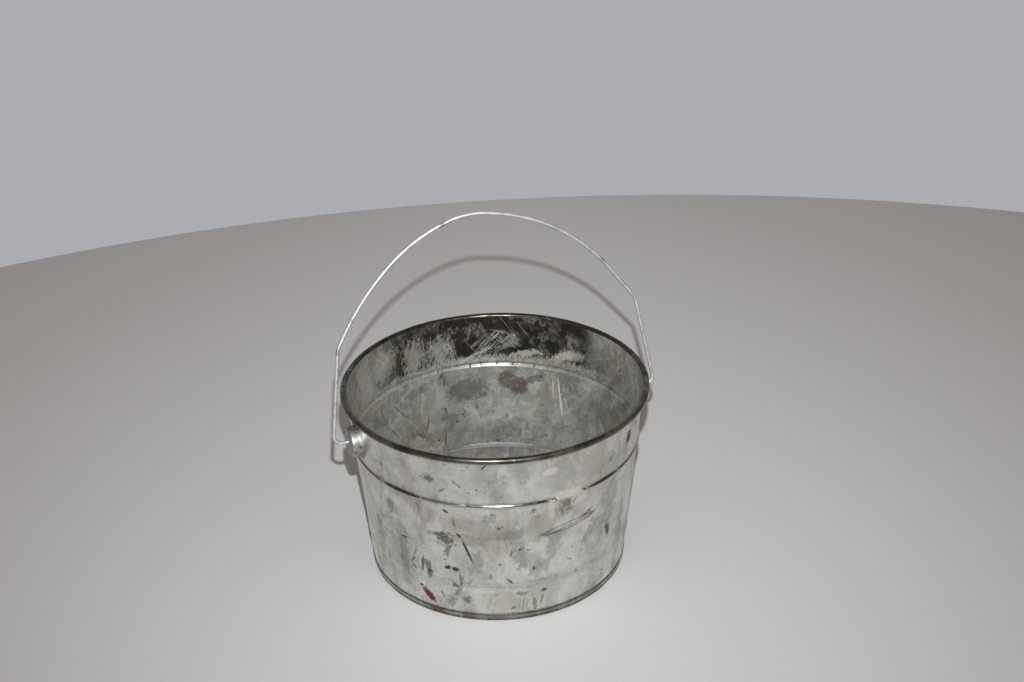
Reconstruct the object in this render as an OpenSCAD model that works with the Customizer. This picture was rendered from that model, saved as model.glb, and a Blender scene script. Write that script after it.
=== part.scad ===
// Small round metal pail with a swinging wire bail.
// Sheet wall with a rolled rim and two pressed beads, a bottom seamed around its foot,
// two stamped cup ears and one bent wire. Millimetres, Z up, pivot line of the bail along X.

/* [Pail] */
// Diameter over the rolled rim
rim_d = 230; // [150:1:320]
// Diameter at the foot of the bottom seam
base_d = 196.6; // [120:0.2:280]
// Height from the standing surface to the top of the rim
pail_h = 147; // [90:1:260]
// Thickness of the wall sheet
sheet_t = 0.35; // [0.3:0.05:1]

/* [Rim] */
// Diameter of the hollow curl that rolls outward at the top
curl_d = 4.6; // [3:0.1:8]
// How far past its lowest point the curl turns back in, degrees
curl_end = 30; // [0:1:40]

/* [Beads] */
// From the top of the rim down to the middle of the main bead
bead_down = 43.2; // [20:0.2:100]
// Height of the main bead along the wall
bead_w = 4.8; // [3:0.1:8]
// How far the main bead stands out of the wall
bead_out = 1.2; // [0.4:0.1:2]
// Height of the middle of the shallow low ring
ring_z = 30; // [15:1:60]
// Height of the low ring along the wall
ring_w = 5; // [3:0.1:10]
// How far the low ring stands out of the wall
ring_out = 0.4; // [0.2:0.1:1]

/* [Bottom] */
// Thickness of the bottom sheet
bottom_t = 0.4; // [0.3:0.05:1]
// Height of the folded seam around the foot
seam_h = 5.2; // [3:0.1:10]
// Height of the floor of the pail above the standing surface
floor_z = 4.8; // [2:0.1:9]

/* [Ears] */
// From the top of the rim down to the bail's pivot line
ear_down = 24.4; // [18:0.2:60]
// How far the pivot line stands forward of the middle of the pail
ear_fwd = 8; // [0:0.5:16]
// Diameter of the cup of an ear
ear_d = 23.2; // [16:0.2:34]
// How far the cup stands out of the wall
ear_depth = 7.5; // [6.5:0.1:14]
// Thickness of the ear's sheet
ear_t = 0.6; // [0.4:0.1:1.2]
// Radius on the outer edge of the cup
ear_edge_r = 2; // [1:0.1:3]
// Width of the lip around the foot of the cup
ear_lip = 0.7; // [0.4:0.1:3]

/* [Bail] */
// Diameter of the wire
wire_d = 2.7; // [2:0.1:5]
// Height of the arch above the pivot line, to the middle of the wire
bail_rise = 154.6; // [120:0.2:260]
// From the edge of the rim out to the middle of the leg at its foot
leg_out = 11; // [9:0.2:25]
// Inward lean of the left leg, degrees
lean_left = 8.3; // [0:0.1:12]
// Inward lean of the right leg, degrees
lean_right = 10.8; // [0:0.1:12]
// Height of the kink in the left leg above the pivot line
kink_left = 70.9; // [40:0.1:110]
// Height of the kink in the right leg above the pivot line
kink_right = 72; // [40:0.1:110]
// Bend radius at the foot of a leg
foot_r = 6; // [4:0.1:8]
// Bend radius at a kink
kink_r = 12; // [6:0.5:20]
// Bend radius of the hook inside an ear
hook_r = 2.6; // [2:0.1:4]
// Length of the hook's straight end
hook_l = 3.4; // [2:0.1:6]
// How far the bail rests back from upright, degrees
bail_lean = 7.6; // [0:0.1:30]

/* [Fits] */
// Clearance all round the wire in the hole of an ear
pin_fit = 0.08; // [0.02:0.01:0.1]
// Gap left between sheets that lie against each other
seat_gap = 0.04; // [0.02:0.01:0.1]
// Gap between the hook and the inside of the cup's face
hook_gap = 1.0; // [0.5:0.1:2]

/* [Hidden] */
$fn = 144;
rim_r = rim_d / 2;
wire_r = wire_d / 2;
bead_z = pail_h - bead_down;
ear_z = pail_h - ear_down;

// The wall is a cone that runs up into the inner side of the curl.
curl_a = (curl_d - sheet_t) / 2;
curl_c = [rim_r - curl_d / 2, pail_h - curl_d / 2];
foot_ro = base_d / 2 - bottom_t - seat_gap;
taper = (rim_r - curl_d + sheet_t - foot_ro) / curl_c[1];
slope = atan(taper);
function wall_out(z) = foot_ro + taper * z;
function wall_mid(z) = wall_out(z) - sheet_t / 2;
function wall_in(z) = wall_out(z) - sheet_t;

// One bead: a smooth outward swell that starts and ends flush with the wall.
function swell(z, zc, w, out) = abs(z - zc) >= w / 2 ? 0 : out * pow(cos(180 * (z - zc) / w), 2);
function mid_r(z) = wall_mid(z) + swell(z, bead_z, bead_w, bead_out) + swell(z, ring_z, ring_w, ring_out);

// Heights at which the wall's section is drawn: closely across the beads, singly between them.
bead_n = 12;
wall_foot = bottom_t + seat_gap;
wall_zs = concat(
    [wall_foot],
    [for (i = [0 : bead_n]) ring_z - ring_w / 2 + ring_w * i / bead_n],
    [for (i = [0 : bead_n]) bead_z - bead_w / 2 + bead_w * i / bead_n]
);
curl_n = 30;
curl_from = 180 - slope;
curl_to = -90 - curl_end;
wall_line = concat(
    [for (z = wall_zs) [mid_r(z), z]],
    [for (i = [0 : curl_n]) let (a = curl_from + (curl_to - curl_from) * i / curl_n)
        curl_c + curl_a * [cos(a), sin(a)]]
);

// Outline of a sheet of thickness t that follows a line through its middle.
function along(p, i) = let (a = p[max(i - 1, 0)], b = p[min(i + 1, len(p) - 1)]) (b - a) / norm(b - a);
function side(p, i, d) = let (u = along(p, i)) p[i] + d * [-u[1], u[0]];
function sheet(p, t) = concat(
    [for (i = [0 : len(p) - 1]) side(p, i, t / 2)],
    [for (i = [len(p) - 1 : -1 : 0]) side(p, i, -t / 2)]
);

// Ears: the cup's face, its hollow and where the hook stands inside it.
ear_r = ear_d / 2;
lip_r = ear_r + ear_lip;
face_x = wall_out(ear_z) + ear_depth;
hook_x = face_x - ear_t - hook_gap - wire_r;

// A bend draws the wire down by thin, and each straight run reaches lap into the bends beside it.
thin = 0.06;
lap = 0.06;

// Bail: corners of the wire as [across, up, bend radius]. The arch is placed as parts of the
// half width and of the rise, so it follows both.
half_w = rim_r + leg_out;
function foot_x(lean) = half_w - foot_r + foot_r * (1 + sin(lean)) / cos(lean);
function leg_x(lean, up) = foot_x(lean) - up * tan(lean);
arch = [[-0.777, 0.668, 1.52], [-0.46, 0.912, 0.98], [-0.125, 1.0123, 0.49], [0.467, 0.9314, 1.14]];
bail_pts = concat(
    [[-hook_x, hook_r + hook_l, 0], [-hook_x, 0, hook_r], [-foot_x(lean_left), 0, foot_r]],
    [[-leg_x(lean_left, kink_left), kink_left, kink_r]],
    [for (a = arch) [a[0] * half_w, a[1] * bail_rise, a[2] * half_w]],
    [[leg_x(lean_right, kink_right), kink_right, kink_r]],
    [[foot_x(lean_right), 0, foot_r], [hook_x, 0, hook_r], [hook_x, hook_r + hook_l, 0]]
);

function xy(p) = [p[0], p[1]];
function unit(v) = v / norm(v);
// Half the angle between the two runs that meet at corner i, and how much of each its bend wants.
function half_at(p, i) = acos(unit(xy(p[i - 1]) - xy(p[i])) * unit(xy(p[i + 1]) - xy(p[i]))) / 2;
function wants(p, i) = (i == 0 || i == len(p) - 1) ? 0 : p[i][2] / tan(half_at(p, i));
// Where a run is too short for the bends at both its ends, they tighten and leave run_min of it straight.
run_min = 1;
function room(p, i) = min(1, (norm(xy(p[i + 1]) - xy(p[i])) - run_min) / (wants(p, i) + wants(p, i + 1)));
function takes(p, i) = (i == 0 || i == len(p) - 1) ? 0 : wants(p, i) * min(room(p, i - 1), room(p, i));

// Which node to draw, or all of them

// Straight run of wire from corner i towards the next one.
module run(p, i) {
    a = xy(p[i]);
    b = xy(p[i + 1]);
    u = unit(b - a);
    from = i == 0 ? 0 : takes(p, i) - lap;
    to = norm(b - a) - (i == len(p) - 2 ? 0 : takes(p, i + 1) - lap);
    s = a + u * from;
    translate([s[0], 0, s[1]])
        rotate([0, 90 - atan2(u[1], u[0]), 0])
            cylinder(h = to - from, r = wire_r, $fn = 48);
}

// Bend of wire at corner i, tangent to the runs on both sides of it.
module bend(p, i) {
    u = unit(xy(p[i - 1]) - xy(p[i]));
    v = unit(xy(p[i + 1]) - xy(p[i]));
    r = takes(p, i) * tan(half_at(p, i));
    c = xy(p[i]) + unit(u + v) * r / sin(half_at(p, i));
    a = xy(p[i]) + u * takes(p, i) - c;
    b = xy(p[i]) + v * takes(p, i) - c;
    turn = a[0] * b[1] - a[1] * b[0];
    from = turn > 0 ? atan2(a[1], a[0]) : atan2(b[1], b[0]);
    translate([c[0], 0, c[1]])
        rotate([90, 0, 0])
            rotate([0, 0, from])
                rotate_extrude(angle = 180 - 2 * half_at(p, i), $fn = 48 + round(r) * 4)
                    translate([r, 0])
                        circle(r = wire_r - thin, $fn = 48);
}

// Sheet wall: cone with two beads, rolled outward into an open curl at the top.
module wall() {
    color("silver")
        rotate_extrude()
            polygon(sheet(wall_line, sheet_t));
}

// Bottom: recessed floor whose edge folds down, under and up around the foot of the wall.
module bottom() {
    color("darkgray")
        rotate_extrude()
            polygon([
                [0, floor_z - bottom_t],
                [wall_in(floor_z) - seat_gap - bottom_t, floor_z - bottom_t],
                [wall_in(0) - seat_gap - bottom_t, 0],
                [wall_out(0) + seat_gap + bottom_t, 0],
                [wall_out(seam_h) + seat_gap + bottom_t, seam_h],
                [wall_out(seam_h) + seat_gap, seam_h],
                [wall_out(bottom_t) + seat_gap, bottom_t],
                [wall_in(bottom_t) - seat_gap, bottom_t],
                [wall_in(floor_z) - seat_gap, floor_z],
                [0, floor_z]
            ]);
}

// The solid that the wall's outer face bounds, grown by d.
module wall_solid(d) {
    cylinder(h = pail_h, r1 = wall_out(0) + d, r2 = wall_out(pail_h) + d);
}

// Ear on the +X side: stamped cup with a lip that lies on the wall and a hole for the wire.
module ear() {
    difference() {
        union() {
            intersection() {
                wall_solid(seat_gap + ear_t);
                translate([0, -ear_fwd, ear_z])
                    rotate([0, 90, 0])
                        cylinder(h = face_x, r = lip_r);
            }
            translate([0, -ear_fwd, ear_z])
                rotate([0, 90, 0]) {
                    cylinder(h = face_x - ear_edge_r, r = ear_r);
                    cylinder(h = face_x, r = ear_r - ear_edge_r);
                    translate([0, 0, face_x - ear_edge_r])
                        rotate_extrude()
                            translate([ear_r - ear_edge_r, 0])
                                circle(r = ear_edge_r, $fn = 48);
                }
        }
        wall_solid(seat_gap);
        translate([0, -ear_fwd, ear_z])
            rotate([0, 90, 0]) {
                cylinder(h = face_x - ear_edge_r, r = ear_r - ear_t);
                cylinder(h = face_x - ear_t, r = ear_r - ear_edge_r);
                cylinder(h = face_x + 1, r = wire_r + pin_fit);
            }
    }
}

module ear_left() {
    color("gainsboro")
        mirror([1, 0, 0])
            ear();
}

module ear_right() {
    color("gainsboro")
        ear();
}

// Bail: one wire, hooked into both ears, resting a little back from upright.
module bail() {
    color("lightgray")
        translate([0, -ear_fwd, ear_z])
            rotate([-bail_lean, 0, 0])
                union() {
                    for (i = [0 : len(bail_pts) - 2]) run(bail_pts, i);
                    for (i = [1 : len(bail_pts) - 2]) bend(bail_pts, i);
                }
}

wall();
bottom();
ear_left();
ear_right();
bail();
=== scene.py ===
"""Looks of a small tinned-steel pail with a wire bail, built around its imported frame.

The pail's wall is worked out here as one closed sheet with its beads, curl, dents and slight out-of-round.
The bottom, the ears and the bail keep their frame meshes. All get procedural finishes in Object coordinates.
"""

from __future__ import annotations

import logging
import math
from dataclasses import dataclass
from enum import Enum
from typing import Any

import bpy
import numpy as np
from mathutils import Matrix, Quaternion, Vector


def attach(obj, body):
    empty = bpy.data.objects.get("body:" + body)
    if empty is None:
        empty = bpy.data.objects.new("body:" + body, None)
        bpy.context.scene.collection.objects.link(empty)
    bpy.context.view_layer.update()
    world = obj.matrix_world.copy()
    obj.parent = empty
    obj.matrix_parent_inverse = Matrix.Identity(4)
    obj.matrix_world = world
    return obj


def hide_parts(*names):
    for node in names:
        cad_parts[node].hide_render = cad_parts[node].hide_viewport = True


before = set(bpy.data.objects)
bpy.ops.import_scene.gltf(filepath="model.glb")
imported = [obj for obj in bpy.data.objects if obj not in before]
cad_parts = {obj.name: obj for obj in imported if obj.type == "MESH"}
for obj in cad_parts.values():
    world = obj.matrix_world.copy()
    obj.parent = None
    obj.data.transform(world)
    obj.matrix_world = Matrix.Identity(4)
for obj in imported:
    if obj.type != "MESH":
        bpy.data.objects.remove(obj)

LOG = logging.getLogger("pail")
MM = 0.001
SMOOTH = "SMOOTHSTEP"


def linear(colour: str) -> tuple[float, float, float, float]:
    """Turns an sRGB hex colour into linear red, green, blue and alpha.

    Args:
        colour: six hex digits after a hash.

    Returns:
        The linear colour with alpha 1.
    """
    parts = [int(colour[i : i + 2], 16) / 255 for i in (1, 3, 5)]
    red, green, blue = (c / 12.92 if c <= 0.04045 else ((c + 0.055) / 1.055) ** 2.4 for c in parts)
    return red, green, blue, 1.0


def add(tree: bpy.types.NodeTree, kind: str, feeds: dict[Any, Any] | None = None, **settings: Any) -> Any:
    """Adds one node with its settings and feeds its sockets.

    Sockets are named, or numbered where several share a name. A Mix has its share at 0, numbers at 2 and 3,
    vectors at 4 and 5, and colours at 6 and 7. A Map Range has the value at 0, what it runs from at 1 and to
    at 2, and what comes out for those two at 3 and 4, which are 0 and 1 unless given.

    Args:
        tree: the node tree.
        kind: the node's type name without its ShaderNode prefix, or a whole type name.
        feeds: socket name or number against a value, a hex colour or the output socket that feeds it.
        settings: attributes of the node; a setting named ramp takes (place, hex colour) pairs.

    Returns:
        The new node's output sockets.
    """
    node = tree.nodes.new(kind if kind.startswith("Node") else "ShaderNode" + kind)
    ramp = settings.pop("ramp", ())
    for key, value in settings.items():
        setattr(node, key, value)
    if ramp:
        stops = node.color_ramp.elements
        while len(stops) < len(ramp):
            stops.new(0.5)
        for stop, (place, colour) in zip(stops, ramp):
            stop.position = place
            stop.color = linear(colour)
    for key, value in (feeds or {}).items():
        if isinstance(value, bpy.types.NodeSocket):
            tree.links.new(value, node.inputs[key])
        else:
            node.inputs[key].default_value = linear(value) if isinstance(value, str) else value
    return node.outputs


def near(tree: bpy.types.NodeTree, value: Any, middle: float, outer: float, inner: float,
         top: float = 1.0) -> Any:
    """Masks the places where a value is near its middle, fading smoothly on both sides.

    Args:
        tree: the node tree.
        value: socket with the value.
        middle: the value's middle.
        outer: distance from the middle at which the mask is 0.
        inner: distance from the middle up to which the mask is whole.
        top: the mask where it is whole.

    Returns:
        The socket with the mask.
    """
    off = add(tree, "Math", {0: value, 1: middle}, operation="SUBTRACT")[0]
    off = add(tree, "Math", {0: off}, operation="ABSOLUTE")[0]
    return add(tree, "MapRange", {0: off, 1: outer, 2: inner, 4: top}, interpolation_type=SMOOTH)[0]


def new_material(name: str) -> bpy.types.Material:
    """Makes a material with an empty node tree.

    Args:
        name: what it is and how it was made.

    Returns:
        The material.
    """
    material = bpy.data.materials.new(name)
    material.use_nodes = True
    material.node_tree.nodes.clear()
    return material


def new_piece(name: str, points: np.ndarray, faces: list[list[int]], smooth: bool = True) -> bpy.types.Object:
    """Puts points and faces into a new object at the origin.

    Args:
        name: name of the piece.
        points: one row per vertex, in metres.
        faces: one row of vertex numbers per face.
        smooth: whether its faces are shaded smooth.

    Returns:
        The new object, linked to the scene.
    """
    mesh = bpy.data.meshes.new(name)
    mesh.from_pydata(points.tolist(), [], faces)
    mesh.polygons.foreach_set("use_smooth", np.full(len(faces), smooth))
    mesh.update()
    piece = bpy.data.objects.new(name, mesh)
    bpy.context.scene.collection.objects.link(piece)
    return piece


class Side(Enum):
    """Which face of the sheet a finish is for."""

    OUTSIDE = 0
    INSIDE = 1
    CURL = 2
    BOTTOM = 3


class Stain(Enum):
    """What a mark on the sheet is made of, or the painted shade or highlight it stands for: its colour, how
    metallic and how rough.
    """

    # Soot also stands for painted shade and painted dark reflection, grey for painted shade, and chalk for a
    # painted highlight.
    SOOT_AND_SHADE = ("#26231F", 0.10, 0.65)
    GREY_AND_SHADE = ("#77756F", 0.75, 0.50)
    BROWN = ("#564C44", 0.40, 0.60)
    OCHRE = ("#857E66", 0.45, 0.60)
    CHALK_AND_HIGHLIGHT = ("#CDCAC0", 0.25, 0.60)
    PALE = ("#B4B2A9", 0.35, 0.55)
    RED = ("#52120F", 0.00, 0.60)
    RUST = ("#563F33", 0.05, 0.70)
    OLIVE = ("#84867C", 0.60, 0.45)


@dataclass(frozen=True)
class Mark:
    """One stain, stroke or fleck, or a patch or line of painted shade or highlight, placed on the unrolled
    sheet.

    Across is measured round the pail in mm at the sheet's mean radius, and up from the standing surface.
    """

    across: float
    up: float
    turn: float
    half_length: float
    half_width: float
    strength: float = 0.8
    ragged: float = 0.6
    hollow: bool = False


Marks = dict[Stain, tuple[Mark, ...]]

OUTSIDE_MARKS: Marks = {
    Stain.GREY_AND_SHADE: (
        Mark(-121, 85, 0, 4.5, 6, 0.7, 0.9), Mark(-82, 75, 0, 9, 2.6, 0.6, 1.2),
        Mark(-62.5, 122.5, -42, 4.6, 0.9, 0.8, 0.5), Mark(-90, 40, 100, 9, 2.8, 0.9, 1.3),
        Mark(-18, 24, 0, 5, 2.2, 0.8, 1.0), Mark(-7.6, 13.7, 90, 5.5, 1.7, 0.8, 1.1),
        Mark(-142, 26, -50, 6, 1.6, 0.8, 0.8), Mark(-35, 121, 90, 12, 7, 0.35, 1.0),
        Mark(60, 84, 90, 14, 8, 0.35, 1.2), Mark(36, 62, 60, 11, 5, 0.45, 1.2),
        Mark(-113, 50, 88, 26, 5, 0.5, 1.0), Mark(-140, 50, 84, 22, 5, 0.45, 1.0),
        Mark(-128, 110, 84, 16, 5, 0.35, 1.1), Mark(-41, 93, 50, 6, 3.6, 0.5, 1.2),
        Mark(-25, 79, 10, 10, 5, 0.45, 1.1), Mark(-19, 57, 84, 11, 5, 0.5, 1.0),
        Mark(-4, 44, 40, 8, 6, 0.4, 1.2), Mark(58, 68, 80, 13, 6, 0.45, 1.0),
        Mark(80, 52, 84, 16, 6, 0.4, 1.0), Mark(-57, 74, 0, 10, 5, 0.4, 1.0),
        Mark(-52, 52, 70, 9, 5, 0.35, 1.1), Mark(6, 66, 80, 12, 6, 0.35, 1.0),
        Mark(-78, 108, 84, 9, 3, 0.35, 1.0),
    ),
    Stain.BROWN: (
        Mark(15, 96, 90, 8.5, 6.5, 0.55, 1.6), Mark(-92, 98, 90, 5, 2.4, 0.5, 1.2),
        Mark(33, 78.5, 12, 6, 1.6, 0.5, 1.0), Mark(-57, 86.5, 0, 12, 6, 0.25, 1.4),
        Mark(24, 78, 12, 10, 1.6, 0.5, 1.6),
    ),
    Stain.RUST: (
        Mark(15, 98, 90, 6.5, 4.5, 0.75, 2.3), Mark(33, 82.5, 20, 6, 1.3, 0.75, 1.4),
        Mark(17, 90, 70, 4, 1.2, 0.5, 1.2),
    ),
    Stain.CHALK_AND_HIGHLIGHT: (
        Mark(16, 105.5, -7, 14, 4.2, 0.62, 1.1), Mark(1, 129, 10, 5.5, 3.2, 0.5, 0.8),
        Mark(3.5, 96, 95, 10, 2.6, 0.5, 1.0), Mark(27, 99, 60, 8, 3.5, 0.4, 1.2),
        Mark(-45, 28, 0, 24, 2.6, 0.35, 0.5),
    ),
    Stain.SOOT_AND_SHADE: (
        Mark(-82.5, 124, 0, 5.2, 4.6, 0.5, 0.7), Mark(-82.2, 123.6, 20, 3.8, 3.2, 0.85, 0.9),
        Mark(-43.7, 138.2, 50, 3.0, 0.8, 0.9, 0.3), Mark(-57, 135, 0, 1.4, 0.8, 0.6),
        Mark(-71.8, 97.3, -34, 2.5, 1.1, 1.0, 0.3), Mark(-66.4, 88.5, 92, 5, 1.2, 0.6, 1.4),
        Mark(-73, 72, 0, 7, 5.6, 0.85, 1.8), Mark(-73.2, 61, 80, 7.5, 2.2, 0.75, 1.7),
        Mark(-63.4, 76.6, -55, 3.6, 0.9, 1.0, 0.3), Mark(-57.8, 63.7, -70, 11.4, 1.0, 1.0, 0.4),
        Mark(-79, 75, -8, 4, 0.9, 0.9, 0.6), Mark(-70, 66, 62, 5, 0.8, 0.8, 0.8),
        Mark(-95, 44, 82, 7, 1.4, 0.85, 1.2), Mark(-90, 38, 70, 3, 1.6, 0.9, 1.0),
        Mark(-80, 20, -60, 4, 0.8, 0.8, 1.0), Mark(-91.5, 14.4, -47, 7.2, 2.6, 0.9, 0.6),
        Mark(-64, 36, -82, 6, 1.0, 0.7, 1.4), Mark(-2, 16, 80, 5, 1.0, 0.7, 1.4),
        Mark(-17, 13.5, 82, 7, 0.5, 0.6, 0.8), Mark(-104, 44, 60, 4, 1.0, 0.7, 1.2),
        Mark(-116, 40, 80, 4, 0.8, 0.6, 1.2), Mark(-110, 61.6, 10, 5.6, 0.8, 0.8, 0.6),
        Mark(-132, 58.5, -60, 3.2, 0.8, 0.7, 0.5), Mark(-39, 97.3, 0, 1.5, 1.1, 0.7),
        Mark(-34.6, 84.8, 0, 1.7, 1.3, 0.8), Mark(58.3, 55.8, 100, 6.5, 2.6, 0.9, 1.6),
        Mark(54.9, 119.1, 55, 2.8, 0.7, 0.9, 0.4), Mark(-26.1, 61.7, 80, 3.4, 0.9, 0.75, 0.6),
        Mark(-19.6, 64.6, 0, 1.3, 1.1, 0.8), Mark(-13.7, 63.6, 0, 1.1, 0.9, 0.7),
        Mark(-9, 46.1, 0, 1.3, 1.6, 0.85), Mark(-73.5, 46, 10, 3.0, 1.7, 1.0, 0.8),
        Mark(-67.6, 45.4, 0, 2.8, 2.2, 1.0, 0.8), Mark(-103.2, 37.2, -45, 2.6, 0.8, 0.9, 0.4),
        Mark(-41.1, 41, 88, 3.6, 0.5, 0.8, 0.3), Mark(-27.4, 36.7, -46, 4.0, 0.8, 0.9, 0.4),
        Mark(-68.3, 30.4, 0, 2.8, 1.8, 0.8, 1.0), Mark(-66.2, 27, 71, 12, 1.8, 0.6, 2.0),
        Mark(-98.5, 21.8, 10, 2.0, 1.3, 1.0), Mark(-73.5, 14, 60, 6, 4, 0.6, 2.0),
        # The last mark on the line below and both marks on the line after it are painted dark reflection
        # along the bead, not soot.
        Mark(-0.5, 23.8, 5, 2.8, 1.5, 0.9, 0.8), Mark(-106, 105.0, 0, 21, 1.35, 1.0, 0.12),
        Mark(-77, 105.1, 0, 20, 1.05, 0.9, 0.15), Mark(48, 105.0, 0, 18, 1.2, 1.0, 0.12),
        Mark(-57, 34, 60, 5, 0.6, 0.6, 0.6), Mark(-30, 72, -80, 6, 0.5, 0.5, 0.8),
        Mark(66, 70, 40, 3, 0.9, 0.6, 0.8), Mark(-101, 52, 70, 6, 1.0, 0.5, 1.2),
        Mark(-60, 18, 0, 4, 3, 0.75, 1.8), Mark(20, 46, -30, 3, 0.8, 0.5, 0.9),
        Mark(18.3, 77.6, 7, 20.5, 2.6, 0.75, 0.22, True), Mark(6, 74.6, 10, 9, 0.7, 0.9, 0.5),
        # The two outlines below, round the ears, are painted shade in the gap between each ear and the wall,
        # not soot.
        Mark(-157.5, 122.6, 0, 11.8, 12.4, 0.65, 0.05, True),
        Mark(157.5, 122.6, 0, 11.8, 12.4, 0.65, 0.05, True),
    ),
    Stain.RED: (
        Mark(77.5, 126, 88, 6.2, 3.6, 1.0, 0.5), Mark(34, 83, 25, 5, 0.9, 0.5, 1.2),
        Mark(-92, 15, -47, 8.4, 3.6, 1.0, 0.5),
    ),
}

SEAM_MARKS: Marks = {
    Stain.RED: (
        Mark(-85, 3.4, 0, 6, 2.2, 0.9, 0.7), Mark(-60, 2.6, 0, 8, 1.4, 0.6, 0.9),
        Mark(-37, 3.4, 0, 10, 1.2, 0.5, 0.9), Mark(10, 3.0, 0, 9, 1.2, 0.3, 0.9),
    ),
}

CURL_MARKS: Marks = {
    Stain.OCHRE: (
        Mark(54, 146.5, 0, 17, 9, 0.3, 0.9), Mark(8, 146.5, 0, 9, 9, 0.2, 0.9),
        Mark(-120, 146.5, 0, 14, 9, 0.2, 0.9),
    ),
}

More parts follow.
